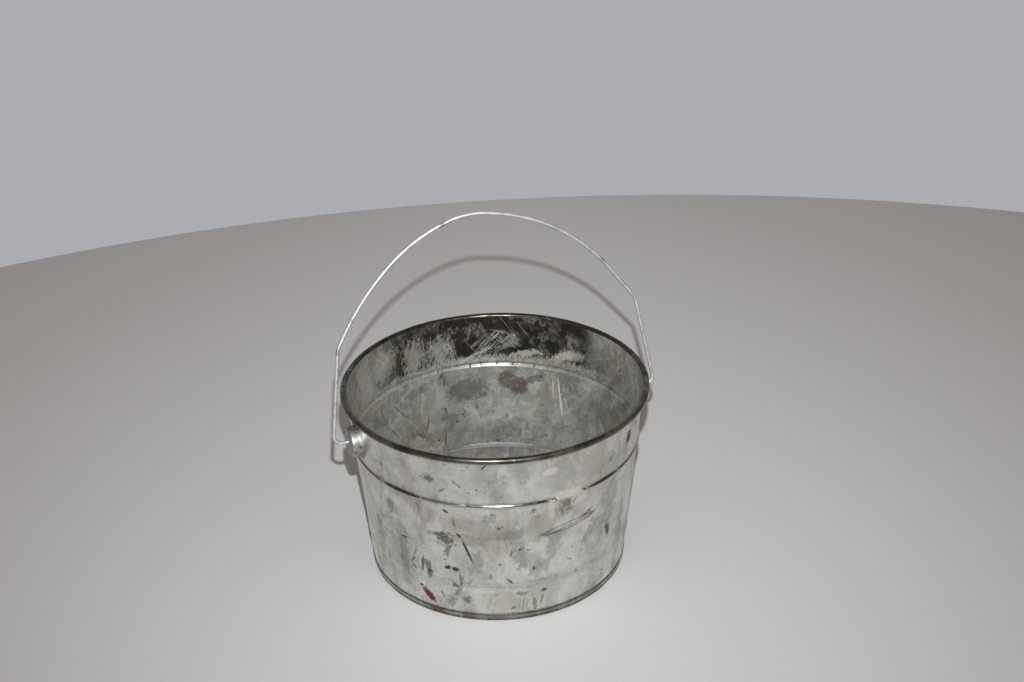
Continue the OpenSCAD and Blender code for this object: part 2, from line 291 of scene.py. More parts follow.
INSIDE_MARKS: Marks = {
    Stain.GREY_AND_SHADE: (
        Mark(12, 82, 0, 17, 10, 0.8, 0.6), Mark(117, 75, 70, 22, 16, 0.3, 0.8),
        Mark(-30, 92, 10, 15, 5, 0.35, 1.0), Mark(-128, 108, 80, 30, 24, 0.3, 0.9),
        # The first mark below, on the inside's right, is painted shade.
        Mark(160, 92, 90, 44, 36, 0.4, 0.7), Mark(40, 30, 0, 60, 16, 0.3, 0.7),
        Mark(-70, 88, 20, 26, 12, 0.3, 1.0),
    ),
    Stain.OLIVE: (
        Mark(28, 95, 0, 9, 6, 0.5, 1.0), Mark(75, 70, 40, 18, 12, 0.3, 0.9),
    ),
    Stain.OCHRE: (
        Mark(-21, 45, 0, 13, 9, 0.55, 1.2), Mark(-40, 64, 30, 16, 8, 0.4, 1.4),
        Mark(-92, 103, 60, 13, 9, 0.5, 1.2), Mark(152, 132, 60, 12, 9, 0.3, 1.2),
    ),
    Stain.BROWN: (
        Mark(-112, 133, 30, 20, 9, 0.4, 1.3), Mark(45.6, 89.5, 0, 9.5, 8.2, 0.95, 0.4),
        Mark(54.4, 84.6, 0, 9.0, 8.8, 0.95, 0.4), Mark(67, 92, 24, 9.5, 3.2, 0.8, 0.8),
        Mark(10, 80, 0, 11, 6, 0.2, 0.8), Mark(132, 129, 82, 17, 6, 0.45, 1.0),
        Mark(-97, 96, 50, 10, 1.2, 0.5, 0.8),
    ),
    Stain.SOOT_AND_SHADE: (
        Mark(128.6, 112.8, 80, 9, 6.5, 0.5, 0.7), Mark(-10, 42.5, 86, 7.5, 0.8, 0.8, 0.8),
        Mark(-8.8, 68.6, 0, 1.6, 1.2, 0.8), Mark(1.4, 54.8, 0, 1.4, 1.3, 0.9),
        Mark(6.7, 60.8, 0, 1.3, 1.2, 0.8), Mark(34.7, 42, 20, 9, 6, 0.5, 1.9),
        Mark(36, 34, 0, 2.2, 1.4, 0.8), Mark(66, 36, 10, 8, 2.6, 0.5, 1.5),
        Mark(-8, 92, 84, 4, 1.4, 0.6, 1.0), Mark(-62, 66, -52, 10, 0.7, 0.6, 0.6),
        Mark(96, 54, 30, 9, 0.7, 0.5, 1.0), Mark(62, 52, -25, 8, 0.6, 0.5, 0.9),
        Mark(12, 58, 60, 6, 0.6, 0.5, 1.0), Mark(-26, 60, 75, 9, 1.0, 0.6, 1.2),
        Mark(-52, 80, -50, 14, 0.8, 0.6, 0.5), Mark(20, 66, -60, 7, 0.8, 0.6, 0.7),
        Mark(150, 118, 60, 10, 5, 0.45, 1.3), Mark(163, 100, 40, 13, 4, 0.45, 1.4),
        Mark(142, 104, 85, 8, 4, 0.5, 1.2), Mark(118, 66, 70, 11, 4, 0.25, 1.4),
        Mark(82, 58, 84, 10, 4, 0.25, 1.4), Mark(0, 30, 10, 12, 3, 0.4, 1.6),
        # The second mark below, under the inner foot ring, is painted shade, not soot.
        Mark(40, 26, -10, 14, 3, 0.4, 1.6), Mark(36, 27.6, 0, 42, 0.9, 0.55, 0.9),
        Mark(44, 48, -20, 12, 4, 0.35, 1.9), Mark(72, 46, 30, 12, 6, 0.3, 1.7),
        Mark(5, 44, 50, 9, 4, 0.4, 1.8), Mark(28, 60, 10, 8, 3, 0.4, 2.0),
        Mark(-30, 50, -40, 8, 2.5, 0.4, 1.8), Mark(-12, 104, 70, 3.2, 0.9, 0.9, 0.6),
        Mark(4, 105, -60, 2.8, 0.8, 0.9, 0.6), Mark(15, 103.6, 80, 3.2, 0.9, 0.9, 0.6),
        Mark(24, 105.4, 20, 3.2, 0.8, 0.8, 0.6), Mark(37, 104.4, 74, 2.8, 0.7, 0.8, 0.6),
        Mark(50, 104, 60, 2.4, 0.8, 0.8, 0.6), Mark(67, 103, 82, 2.6, 0.7, 0.8, 0.6),
        Mark(86, 104.5, 30, 3.0, 0.8, 0.7, 0.6),
    ),
    Stain.CHALK_AND_HIGHLIGHT: (
        Mark(90.8, 79, -81, 17.5, 0.9, 0.95, 0.3), Mark(84, 86, -86, 11, 0.6, 0.7, 0.4),
        Mark(97, 74, -70, 10, 0.5, 0.6, 0.5), Mark(52, 72, 62, 9, 0.5, 0.5, 0.6),
        # The first mark below, along the inner foot ring, is a painted highlight, not chalk.
        Mark(36, 31.2, 0, 36, 1.1, 0.9, 0.4), Mark(18, 112, 24, 15, 1.4, 0.5, 1.4),
        Mark(62, 114, 10, 15, 3.0, 0.6, 1.4), Mark(92, 116, 26, 11, 3.6, 0.6, 1.4),
    ),
    Stain.PALE: (
        Mark(112, 84, 60, 9, 0.7, 0.6, 0.6), Mark(64, 64, 50, 12, 5, 0.45, 1.2),
        Mark(20, 56, 20, 16, 7, 0.4, 1.2), Mark(96, 40, 50, 12, 6, 0.4, 1.2),
        Mark(160, 112, 70, 9, 1.2, 0.5, 1.0), Mark(148, 96, 60, 10, 1.6, 0.5, 1.2),
        Mark(-16, 74, 70, 11, 5, 0.4, 1.2), Mark(-58, 104, 40, 12, 3.5, 0.5, 1.2),
        Mark(-30, 78, 84, 9, 0.8, 0.6, 0.7), Mark(-46, 92, 30, 14, 1.2, 0.6, 0.9),
        Mark(118, 98, 20, 16, 4, 0.5, 1.4), Mark(-34, 121, 78, 15, 10, 0.6, 1.5),
        Mark(-10, 120, 84, 13, 10, 0.55, 1.7), Mark(-66, 128, 60, 13, 13, 0.6, 1.5),
        Mark(-92, 118, 70, 22, 16, 0.5, 1.5), Mark(-122, 124, 62, 17, 12, 0.5, 1.5),
        Mark(100, 118.5, 12, 13, 5, 0.65, 1.2), Mark(84, 109.6, 2, 38, 3.0, 0.6, 2.2),
        Mark(20, 109.2, 0, 48, 2.6, 0.6, 2.4),
    ),
}


class Stamp:
    """The node group that turns a place on the unrolled sheet into the mask of one mark.

    The distance from the mark's middle is measured in half lengths and half widths after turning, noise is
    added to it, and the mask fades from 1 to 0 around 1. Outline keeps only a line round the mark's edge.
    """

    def __init__(self) -> None:
        """Makes the group."""
        tree = bpy.data.node_groups.new("mark on sheet", "ShaderNodeTree")
        tree.interface.new_socket("Place", in_out="INPUT", socket_type="NodeSocketVector")
        for name in ("Noise", "Across", "Up", "Turn", "Half Length", "Half Width", "Ragged"):
            tree.interface.new_socket(name, in_out="INPUT", socket_type="NodeSocketFloat")
        for name in ("Solid", "Outline"):
            tree.interface.new_socket(name, in_out="OUTPUT", socket_type="NodeSocketFloat")
        take = add(tree, "NodeGroupInput")
        middle = add(tree, "CombineXYZ", {0: take["Across"], 1: take["Up"]})[0]
        away = add(tree, "VectorMath", {0: take["Place"], 1: middle}, operation="SUBTRACT")[0]
        back = add(tree, "Math", {0: take["Turn"], 1: -1.0}, operation="MULTIPLY")[0]
        turned = add(tree, "VectorRotate", {"Vector": away, "Angle": back}, rotation_type="Z_AXIS")[0]
        halves = add(tree, "CombineXYZ", {0: take["Half Length"], 1: take["Half Width"], 2: 1.0})[0]
        share = add(tree, "VectorMath", {0: turned, 1: halves}, operation="DIVIDE")[0]
        far = add(tree, "VectorMath", {0: share}, operation="LENGTH")["Value"]
        rough = add(tree, "Math", {0: take["Noise"], 1: take["Ragged"], 2: far}, operation="MULTIPLY_ADD")[0]
        solid = add(tree, "MapRange", {0: rough, 1: 1.12, 2: 0.72}, interpolation_type=SMOOTH)[0]
        edge = near(tree, rough, 1.0, 0.22, 0.06)
        add(tree, "NodeGroupOutput", {"Solid": solid, "Outline": edge})
        self.tree = tree

    def press(self, tree: bpy.types.NodeTree, place: Any, noise: Any, marks: tuple[Mark, ...]) -> Any:
        """Presses a set of marks and keeps the strongest at each place.

        Args:
            tree: the material's node tree.
            place: socket with the place on the unrolled sheet, in mm.
            noise: socket with noise around 0.
            marks: the marks.

        Returns:
            The socket with the mask, from 0 to 1.
        """
        total: Any = 0.0
        for mark in marks:
            feeds = {"Place": place, "Noise": noise, "Across": mark.across, "Up": mark.up,
                     "Turn": math.radians(mark.turn), "Half Length": mark.half_length,
                     "Half Width": mark.half_width, "Ragged": mark.ragged}
            masks = add(tree, "Group", feeds, node_tree=self.tree)
            mask = masks["Outline" if mark.hollow else "Solid"]
            weak = add(tree, "Math", {0: mask, 1: mark.strength}, operation="MULTIPLY")[0]
            total = add(tree, "Math", {0: total, 1: weak}, operation="MAXIMUM")[0]
        return total


@dataclass
class Skin:
    """A finish as it is built up in coats. Colour, roughness and metallic share are sockets or numbers."""

    tree: bpy.types.NodeTree
    colour: Any
    rough: Any
    metal: Any

    def lay(self, mask: Any, tint: Any = None, rough: float | None = None,
            metal: float | None = None) -> None:
        """Lays a coat over the finish. What a coat leaves out shows through unchanged.

        Args:
            mask: socket with how much of the coat there is, from 0 to 1.
            tint: its hex colour, or a socket with its colour.
            rough: its roughness.
            metal: its metallic share.
        """
        if tint is not None:
            self.colour = add(self.tree, "Mix", {0: mask, 6: self.colour, 7: tint}, data_type="RGBA")[2]
        if rough is not None:
            self.rough = add(self.tree, "Mix", {0: mask, 2: self.rough, 3: rough})[0]
        if metal is not None:
            self.metal = add(self.tree, "Mix", {0: mask, 2: self.metal, 3: metal})[0]


@dataclass
class Spot:
    """Where a point of the sheet is, in mm, and the two noises that most coats share, each as a socket."""

    tree: bpy.types.NodeTree  # the material's node tree, which the sockets are in
    mm: Any  # place in the pail's own space
    tall: Any  # the same, squeezed so that patterns come out taller than wide
    place: Any  # place on the unrolled sheet, or seen from above on the flat of the bottom
    across: Any  # distance round the sheet
    height: Any
    disc: Any  # 1 on the flat of the bottom, else 0
    patches: Any
    mottles: Any


def scrawl(spot: Spot, turn: float, stretch: float, pitch: float, width: float) -> Any:
    """Draws thin wandering lines, where a stretched noise passes through its middle value.

    Args:
        spot: where the point is.
        turn: direction that the lines run in, in degrees.
        stretch: how many times longer than wide the noise is.
        pitch: distance between lines, in mm.
        width: how far from its middle value the noise still draws the line.

    Returns:
        The socket with the mask.
    """
    tree = spot.tree
    bent = add(tree, "Mapping", {"Vector": spot.place, "Location": (2.0 * turn, turn, 0.0),
                                 "Rotation": (0.0, 0.0, math.radians(turn)),
                                 "Scale": (stretch, 1.0, 1.0)}, vector_type="TEXTURE")[0]
    waves = add(tree, "TexNoise", {"Vector": bent, "Scale": 1 / pitch, "Detail": 2.0, "Roughness": 0.55,
                                   "Distortion": 1.0})[0]
    return near(tree, waves, 0.5, width, width * 0.3)


@dataclass(frozen=True)
class DarkReflectionBand:
    """The band above the inner bead, painted dark as the reflection of the shaded front of the inside, and
    scratched through in places. Lengths in mm.
    """

    # Its edges, each with where there is no painted darkening and where it is whole: a height, then places
    # across.
    foot: tuple[float, float] = (111.5, 117.0)
    start: tuple[float, float] = (-78.0, -36.0)
    end: tuple[float, float] = (143.0, 113.0)
    # How far the mottle moves those edges, down and sideways.
    waver: float = 12.0
    stray: float = 16.0
    cloud: float = 17.0
    # Dark tones of the band: painted reflection, not smoke.
    painted_reflection: tuple[tuple[float, str], ...] = ((0.35, "#4A463D"), (0.48, "#2A2824"), (0.65, "#38332B"))
    rough: float = 0.22
    # Direction, stretch and pitch of the loose scratches.
    loose: tuple[tuple[float, float, float], ...] = ((55.0, 3.0, 5.0), (-38.0, 3.5, 6.0), (78.0, 5.0, 4.0))
    # Direction of the close strokes, how much they take off, and where they are.
    close: tuple[tuple[float, float, Mark], ...] = (
        (44.0, 0.85, Mark(34, 122, 20, 19, 9, 1.0, 0.7)),
        (-30.0, 0.7, Mark(42, 126, -20, 17, 6, 1.0, 0.7)),
        (70.0, 0.8, Mark(-8, 118, 60, 15, 14, 1.0, 0.9)),
    )

    def rubbing(self, stamp: Stamp, spot: Spot, clouds: Any) -> Any:
        """Draws what is rubbed out of the band: loose scratches, and patches of close strokes.

        Args:
            stamp: the group that draws a mark.
            spot: where the point is.
            clouds: socket with the band's clouds.

        Returns:
            The socket with the mask.
        """
        tree = spot.tree
        lines: Any = 0.0
        for turn, stretch, pitch in self.loose:
            drawn = scrawl(spot, turn, stretch, pitch, 0.035)
            lines = add(tree, "Math", {0: lines, 1: drawn}, operation="MAXIMUM")[0]
        where = add(tree, "TexNoise", {"Vector": spot.mm, "Scale": 1 / 15.0, "Detail": 2.0})[0]
        where = add(tree, "MapRange", {0: where, 1: 0.54, 2: 0.68, 4: 0.55}, interpolation_type=SMOOTH)[0]
        rub = add(tree, "Math", {0: lines, 1: where}, operation="MULTIPLY")[0]
        wander = add(tree, "Math", {0: clouds, 1: 2.0, 2: -1.0}, operation="MULTIPLY_ADD")[0]
        for turn, amount, area in self.close:
            strokes = scrawl(spot, turn, 9.0, 2.6, 0.05)
            there = stamp.press(tree, spot.place, wander, (area,))
            fan = add(tree, "Math", {0: strokes, 1: there}, operation="MULTIPLY")[0]
            fan = add(tree, "Math", {0: fan, 1: amount}, operation="MULTIPLY")[0]
            rub = add(tree, "Math", {0: rub, 1: fan}, operation="MAXIMUM")[0]
        return rub

    def lay(self, stamp: Stamp, spot: Spot, skin: Skin) -> None:
        """Lays the band over a finish.

        Args:
            stamp: the group that draws a mark.
            spot: where the point is.
            skin: the finish to darken.
        """
        tree = spot.tree
        up = add(tree, "Math", {0: spot.mottles, 1: self.waver, 2: spot.height}, operation="MULTIPLY_ADD")[0]
        on = add(tree, "Math", {0: spot.mottles, 1: self.stray, 2: spot.across}, operation="MULTIPLY_ADD")[0]
        foot = add(tree, "MapRange", {0: up, 1: self.foot[0], 2: self.foot[1]}, interpolation_type=SMOOTH)[0]
        start = add(tree, "MapRange", {0: on, 1: self.start[0], 2: self.start[1]})[0]
        end = add(tree, "MapRange", {0: on, 1: self.end[0], 2: self.end[1]}, interpolation_type=SMOOTH)[0]
        clouds = add(tree, "TexNoise", {"Vector": spot.mm, "Scale": 1 / self.cloud, "Detail": 5.0,
                                        "Roughness": 0.65, "Distortion": 0.8})[0]
        dark = add(tree, "MapRange", {0: clouds, 1: 0.34, 2: 0.48, 3: 0.86})[0]
        rub = self.rubbing(stamp, spot, clouds)
        mask = add(tree, "Math", {0: 1.0, 1: rub}, operation="SUBTRACT")[0]
        for part in (foot, start, end, dark):
            mask = add(tree, "Math", {0: mask, 1: part}, operation="MULTIPLY")[0]
        painted_reflection = add(tree, "ValToRGB", {0: clouds}, ramp=self.painted_reflection)[0]
        # Lays the painted dark reflection over the finish, less where it is rubbed through.
        skin.lay(mask, painted_reflection, self.rough)


@dataclass(frozen=True)
class PolishAndHighlight:
    """The polish on a pressed bead, and the painted highlight that lightens it. Lengths in mm."""

    middle: float  # height of the bead's middle
    half: float  # half the bead's height
    rough: float
    metal: float
    left: float  # share of the polish that is left under dirt


@dataclass(frozen=True)
class TinnedSheet:
    """Tinned steel sheet, rolled, pressed and worn: the tin is bright where clean and greys in blotches.

    To the eye it is a soft mirror: pale where it faces the cloth, dark on beads and curls that face the room.
    Part of that is painted into the colour: dark reflection on the curl and on the band above the inner bead,
    and highlight and shade along beads and rings.
    """

    name: str
    side: Side
    dull: str
    middle: str
    clean: str
    rough_clean: float
    rough_dull: float
    marks: Marks
    mean_radius: float = 105.0
    # Edge of the bottom's flat, and how far inward the seam's finish fades into it.
    disc_radius: float = 94.5
    disc_fade: float = 0.5
    patch: float = 26.0
    mottle: float = 7.0
    cell: float = 13.0
    grit: float = 0.70
    squeeze: float = 0.72
    speck_gap: float = 6.5
    metal_dull: float = 0.80
    metal_clean: float = 0.95
    tints: tuple[str, ...] = ()
    tint_share: float = 0.5
    # Width of the tinted cells, how soft their edges are, and their share.
    layers: tuple[tuple[float, float, float], ...] = ((18.0, 0.20, 1.0), (9.0, 0.08, 0.6))
    crests: tuple[PolishAndHighlight, ...] = ()
    # Height of the line, half its width, and how dark it is. Most lines are grime; one is painted shade.
    grime: tuple[tuple[float, float, float], ...] = ()
    # The band above the inner bead that is painted dark as a reflection.
    band: DarkReflectionBand | None = None
    # The dull film on the flat of the bottom, which is like the pail's inside.
    film: str = "#A4A39B"
    film_share: float = 0.45
    film_rough: float = 0.52
    film_metal: float = 0.40

    def make(self, stamp: Stamp) -> bpy.types.Material:
        """Makes the material.

        Args:
            stamp: the group that draws a mark.

        Returns:
            The material.
        """
        material = new_material(self.name)
        tree = material.node_tree
        spot = self.spot(tree)
        skin = self.tin(spot)
        if self.tints:
            self.blotches(spot, skin)
        for polish in self.crests:
            self.crest_polish_and_highlight(spot, skin, polish)
        for middle, half, amount in self.grime:
            self.grime_and_shade_line(spot, skin, middle, half, amount)
        if self.side is Side.BOTTOM:
            some = add(tree, "Math", {0: spot.disc, 1: self.film_share}, operation="MULTIPLY")[0]
            skin.lay(some, self.film)
            skin.lay(spot.disc, rough=self.film_rough, metal=self.film_metal)
        if self.band:
            self.band.lay(stamp, spot, skin)
        self.specks(spot, skin)
        self.stains_and_painted_light(stamp, spot, skin)
        self.hairlines(spot, skin)
        bump = add(tree, "Math", {0: spot.mottles, 1: 0.4}, operation="MULTIPLY")[0]
        fine = add(tree, "Bump", {"Height": bump, "Strength": 0.25, "Distance": 0.6 * MM})[0]
        shader = add(tree, "BsdfPrincipled", {"Base Color": skin.colour, "Metallic": skin.metal,
                                              "Roughness": skin.rough, "Normal": fine})[0]
        add(tree, "OutputMaterial", {"Surface": shader})
        return material

    def spot(self, tree: bpy.types.NodeTree) -> Spot:
        """Works out where a point is on the sheet.

        On the unrolled sheet, a point's place is its angle round the pail times the sheet's mean radius, and
        its height. The angle starts at the front outside, and at the back inside.

        Args:
            tree: the material's node tree.

        Returns:
            The sockets with its places and the two shared noises.
        """
        here = add(tree, "TexCoord")["Object"]
        mm = add(tree, "VectorMath", {0: here, "Scale": 1 / MM}, operation="SCALE")[0]
        xyz = add(tree, "SeparateXYZ", {0: mm})
        flip = 1.0 if self.side is Side.INSIDE else -1.0
        away = add(tree, "Math", {0: xyz["Y"], 1: flip}, operation="MULTIPLY")[0]
        angle = add(tree, "Math", {0: xyz["X"], 1: away}, operation="ARCTAN2")[0]
        across = add(tree, "Math", {0: angle, 1: self.mean_radius}, operation="MULTIPLY")[0]
        place = add(tree, "CombineXYZ", {0: across, 1: xyz["Z"]})[0]
        disc: Any = 0.0
        if self.side is Side.BOTTOM:
            # Inside its folded seam the bottom is flat, so its patterns lie on it as seen from above.
            plan = add(tree, "CombineXYZ", {0: xyz["X"], 1: xyz["Y"]})[0]
            reach = add(tree, "VectorMath", {0: plan}, operation="LENGTH")["Value"]
            edge = self.disc_radius
            disc = add(tree, "MapRange", {0: reach, 1: edge, 2: edge - self.disc_fade})[0]
            place = add(tree, "Mix", {0: disc, 4: place, 5: plan}, data_type="VECTOR")[1]
        tall = add(tree, "VectorMath", {0: mm, 1: (1.0, 1.0, self.squeeze)}, operation="MULTIPLY")[0]
        patches = add(tree, "TexNoise", {"Vector": tall, "Scale": 1 / self.patch, "Detail": 3.0,
                                         "Roughness": 0.6, "Distortion": 0.6})[0]
        mottles = add(tree, "TexNoise", {"Vector": tall, "Scale": 1 / self.mottle, "Detail": 6.0,
                                         "Roughness": self.grit, "Distortion": 1.2})[0]
        return Spot(tree, mm, tall, place, across, xyz["Z"], disc, patches, mottles)

    def tin(self, spot: Spot) -> Skin:
        """Greys the tin cloudily, in patches a few centimetres tall and in mottles of a few millimetres.

        The tone is the patches, the mottles and a tone of each cell, added in fixed shares.

        Args:
            spot: where the point is.

        Returns:
            The bare finish.
        """
        tree = spot.tree
        cells = add(tree, "TexVoronoi", {"Vector": spot.tall, "Scale": 1 / self.cell, "Detail": 1.0,
                                         "Randomness": 1.0, "Smoothness": 0.35}, feature="SMOOTH_F1")["Color"]
        cell = add(tree, "SeparateColor", {0: cells})[0]
        tone: Any = -0.1
        for part, share in ((spot.patches, 0.9), (spot.mottles, 0.56), (cell, 0.30)):
            tone = add(tree, "Math", {0: part, 1: share, 2: tone}, operation="MULTIPLY_ADD")[0]
        spread = add(tree, "MapRange", {0: tone, 1: 0.43, 2: 1.07}, interpolation_type=SMOOTH)[0]
        colour = add(tree, "ValToRGB", {0: spread},
                     ramp=((0.0, self.dull), (0.5, self.middle), (1.0, self.clean)))[0]
        rough = add(tree, "MapRange", {0: spread, 3: self.rough_dull, 4: self.rough_clean})[0]
        metal = add(tree, "MapRange", {0: spread, 3: self.metal_dull, 4: self.metal_clean})[0]
        return Skin(tree, colour, rough, metal)

    def blotches(self, spot: Spot, skin: Skin) -> None:
        """Tints the sheet in wandering cells a centimetre or two wide, as dried washes and rubbing leave it.

        Args:
            spot: where the point is.
            skin: the finish to tint.
        """
        tree = spot.tree
        ripple = add(tree, "TexNoise", {"Vector": spot.tall, "Scale": 1 / 9.0, "Detail": 4.0,
                                        "Roughness": 0.6})["Color"]
        shift = add(tree, "VectorMath", {0: ripple, "Scale": 15.0}, operation="SCALE")[0]
        moved = add(tree, "VectorMath", {0: spot.tall, 1: shift}, operation="ADD")[0]
        count = len(self.tints)
        ramp = tuple(((k + 0.5) / count, tint) for k, tint in enumerate(self.tints))
        for size, soft, share in self.layers:
            cells = add(tree, "TexVoronoi", {"Vector": moved, "Scale": 1 / size, "Smoothness": soft},
                        feature="SMOOTH_F1")["Color"]
            pick = add(tree, "SeparateColor", {0: cells})
            tint = add(tree, "ValToRGB", {0: pick[0]}, ramp=ramp)[0]
            much = add(tree, "Math", {0: pick[1], 1: share * self.tint_share}, operation="MULTIPLY")[0]
            skin.lay(much, tint)

    def crest_polish_and_highlight(self, spot: Spot, skin: Skin, polish: PolishAndHighlight) -> None:
        """Polishes a bead, which stands proud and is rubbed, so that it mirrors lamp and dark room sharply,
        and lightens its colour as a painted highlight.

        Args:
            spot: where the point is.
            skin: the finish to polish.
            polish: the polish, which the fine mottle breaks up.
        """
        tree = spot.tree
        mask = near(tree, spot.height, polish.middle, polish.half, polish.half * 0.7)
        dirt = add(tree, "MapRange", {0: spot.mottles, 1: 0.46, 2: 0.52, 3: polish.left})[0]
        mask = add(tree, "Math", {0: mask, 1: dirt}, operation="MULTIPLY")[0]
        some = add(tree, "Math", {0: mask, 1: 0.6}, operation="MULTIPLY")[0]
        # Painted highlight: the crest's colour is lightened.
        skin.lay(some, "#C9C7C2")
        skin.lay(mask, rough=polish.rough, metal=polish.metal)

    def grime_and_shade_line(self, spot: Spot, skin: Skin, middle: float, half: float, amount: float) -> None:
        """Darkens a level line, broken up by the mottle: grime in the crook of a seam or bead, and painted
        shade above the outer foot ring.

        Args:
            spot: where the point is.
            skin: the finish to darken.
            middle: height of the line.
            half: half its width.
            amount: share of darkening in the line's middle.
        """
        tree = spot.tree
        mask = near(tree, spot.height, middle, half, 0.0, amount)
        broken = add(tree, "MapRange", {0: spot.mottles, 1: 0.62, 2: 0.42, 3: 0.35})[0]
        mask = add(tree, "Math", {0: mask, 1: broken}, operation="MULTIPLY")[0]
        mask = add(tree, "Math", {0: mask, 1: spot.disc}, operation="SUBTRACT", use_clamp=True)[0]
        skin.lay(mask, "#37332D", 0.55)

    def specks(self, spot: Spot, skin: Skin) -> None:
        """Scatters dark pits and specks of dirt, about a millimetre wide, thicker in some places.

        Args:
            spot: where the point is; its broad patches say where specks gather.
            skin: the finish to speckle.
        """
        tree = spot.tree
        ripple = add(tree, "TexNoise", {"Vector": spot.mm, "Scale": 1 / 2.0, "Detail": 2.0})["Color"]
        shift = add(tree, "VectorMath", {0: ripple, "Scale": 1.6}, operation="SCALE")[0]
        moved = add(tree, "VectorMath", {0: spot.mm, 1: shift}, operation="ADD")[0]
        total: Any = 0.0
        for gap, width, rare in ((self.speck_gap, 0.15, 0.74), (self.speck_gap * 2.3, 0.10, 0.60)):
            dots = add(tree, "TexVoronoi", {"Vector": moved, "Scale": 1 / gap})
            chance = add(tree, "SeparateColor", {0: dots["Color"]})
            some = add(tree, "MapRange", {0: chance[0], 1: rare, 2: rare + 0.05})[0]
            reach = add(tree, "Math", {0: chance[1], 1: width}, operation="MULTIPLY")[0]
            depth = add(tree, "Math", {0: reach, 1: dots["Distance"]}, operation="SUBTRACT")[0]
            dot = add(tree, "MapRange", {0: depth, 1: -0.01, 2: 0.03}, interpolation_type=SMOOTH)[0]
            dot = add(tree, "Math", {0: dot, 1: some}, operation="MULTIPLY")[0]
            total = add(tree, "Math", {0: total, 1: dot}, operation="MAXIMUM")[0]
        gather = add(tree, "MapRange", {0: spot.patches, 1: 0.60, 2: 0.40}, interpolation_type=SMOOTH)[0]
        mask = add(tree, "Math", {0: total, 1: gather}, operation="MULTIPLY")[0]
        skin.lay(mask, "#34312C", 0.6, 0.4)

    def stains_and_painted_light(self, stamp: Stamp, spot: Spot, skin: Skin) -> None:
        """Lays the placed marks, stain by stain, some of which are painted shade and highlight. All but soot
        and painted shade are worn thin here and there.

        Washes have soft cloudy edges, pale smears are brushed steeply, and the rest have ragged edges.

        Args:
            stamp: the group that draws a mark.
            spot: where the point is.
            skin: the finish to mark.
        """
        tree = spot.tree
        steep = add(tree, "Mapping", {"Vector": spot.place, "Rotation": (0.0, 0.0, math.radians(72)),
                                      "Scale": (2.6, 1.0, 1.0)}, vector_type="TEXTURE")[0]
        edges = []
        for place, width, detail, rough, bend, gain in ((spot.mm, 2.6, 5.0, 0.8, 0.0, 3.0),
                                                        (spot.mm, 6.5, 3.0, 0.5, 1.0, 3.0),
                                                        (steep, 2.2, 5.0, 0.8, 1.2, 3.2)):
            noise = add(tree, "TexNoise", {"Vector": place, "Scale": 1 / width, "Detail": detail,
                                           "Roughness": rough, "Distortion": bend})[0]
            edges.append(add(tree, "Math", {0: noise, 1: gain, 2: -gain / 2}, operation="MULTIPLY_ADD")[0])
        ragged, soft, brushed = edges
        thin = add(tree, "TexNoise", {"Vector": spot.mm, "Scale": 1 / 3.0, "Detail": 4.0, "Roughness": 0.6,
                                      "Distortion": 0.5})[0]
        worn = add(tree, "MapRange", {0: thin, 1: 0.36, 2: 0.56, 3: 0.76})[0]
        washes = {Stain.PALE: brushed, Stain.GREY_AND_SHADE: soft, Stain.OLIVE: soft, Stain.OCHRE: soft}
        for stain, marks in self.marks.items():
            mask = stamp.press(tree, spot.place, washes.get(stain, ragged), marks)
            if stain is not Stain.SOOT_AND_SHADE:
                mask = add(tree, "Math", {0: mask, 1: worn}, operation="MULTIPLY")[0]
            mask = add(tree, "Math", {0: mask, 1: spot.disc}, operation="SUBTRACT", use_clamp=True)[0]
            tint, metallic, roughness = stain.value
            skin.lay(mask, tint, roughness, metallic)

    def hairlines(self, spot: Spot, skin: Skin) -> None:
        """Draws fine pale and dark scratches in three directions, and a few dark wandering strokes.

        Real ones are finer than can be seen at arm's length, so they are drawn as wide as they need to show.

        Args:
            spot: where the point is.
            skin: the finish to scratch.
        """
        tree = spot.tree
        for turn, tint, amount in ((24, "#D8D7D2", 0.42), (-52, "#C9C7C0", 0.36), (78, "#4A4843", 0.34)):
            bent = add(tree, "Mapping", {"Vector": spot.place, "Location": (turn, 3.0 * turn, 0.0),
                                         "Rotation": (0.0, 0.0, math.radians(turn)),
                                         "Scale": (26.0, 1.0, 1.0)}, vector_type="TEXTURE")[0]
            lines = add(tree, "TexNoise", {"Vector": bent, "Scale": 1 / 1.4, "Detail": 1.0,
                                           "Distortion": 0.3})[0]
            thin = add(tree, "MapRange", {0: lines, 1: 0.67, 2: 0.71}, interpolation_type=SMOOTH)[0]
            here = add(tree, "TexNoise", {"Vector": bent, "Scale": 1 / 9.0, "Detail": 0.0})[0]
            here = add(tree, "MapRange", {0: here, 1: 0.46, 2: 0.58})[0]
            mask = add(tree, "Math", {0: thin, 1: here}, operation="MULTIPLY")[0]
            mask = add(tree, "Math", {0: mask, 1: amount}, operation="MULTIPLY")[0]
            skin.lay(mask, tint, 0.34)
        some = add(tree, "TexNoise", {"Vector": spot.place, "Scale": 1 / 8.0, "Detail": 1.0})[0]
        some = add(tree, "MapRange", {0: some, 1: 0.58, 2: 0.66, 4: 0.65}, interpolation_type=SMOOTH)[0]
        loops = scrawl(spot, 66.0, 1.7, 10.0, 0.016)
        loops = add(tree, "Math", {0: loops, 1: some}, operation="MULTIPLY")[0]
        skin.lay(loops, "#46423B")


